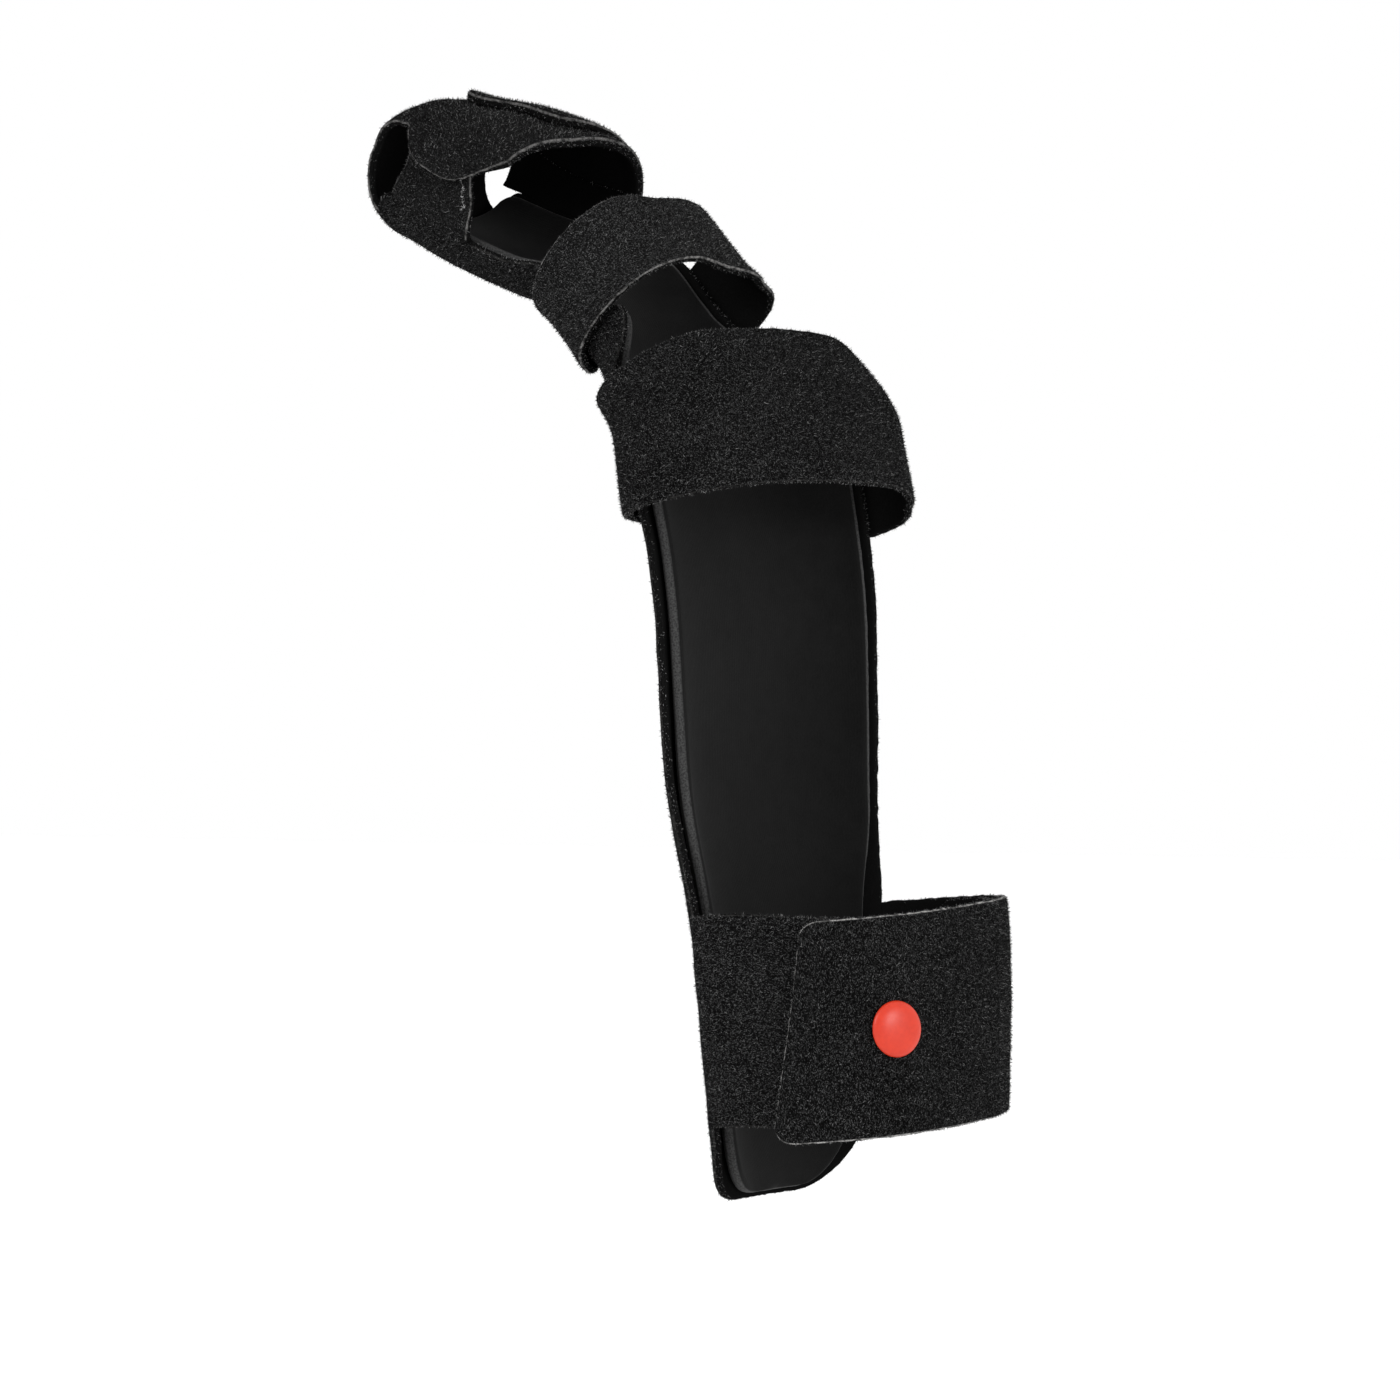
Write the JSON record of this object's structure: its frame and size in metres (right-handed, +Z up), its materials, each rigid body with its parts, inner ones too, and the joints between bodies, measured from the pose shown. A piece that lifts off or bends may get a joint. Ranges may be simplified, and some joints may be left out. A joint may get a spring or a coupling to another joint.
{
  "type": "finger splint",
  "caption": "Finger splint in its worn form: a padded gutter along forearm, palm and fingers, wrap straps, a press stud and a folded hood over the fingertips.",
  "frame": {"origin": "middle of the wrist strap's loop, where the wearer's wrist sits", "axes": "+Z up the forearm towards the fingers, -Y towards the back of the hand, +X towards the little finger"},
  "size_m": [0.0962, 0.1336, 0.2462],
  "materials": {
    "cover_cloth": "black velour laminate with cut edges",
    "strap_cloth": "black velour strap with lighter fuzzy cut edges",
    "lining_cloth": "smooth black lining",
    "stud_plastic": "glossy red"
  },
  "bodies": {
    "root": {"cover": "cover_cloth", "pad": "lining_cloth", "wrist_strap": "strap_cloth", "wrist_flap": "strap_cloth", "hand_strap": "strap_cloth", "finger_strap": "strap_cloth", "thumb_wing": "cover_cloth", "tip_flap": "cover_cloth", "little_wing": "cover_cloth", "press_stud": "stud_plastic"}
  },
  "joints": []
}
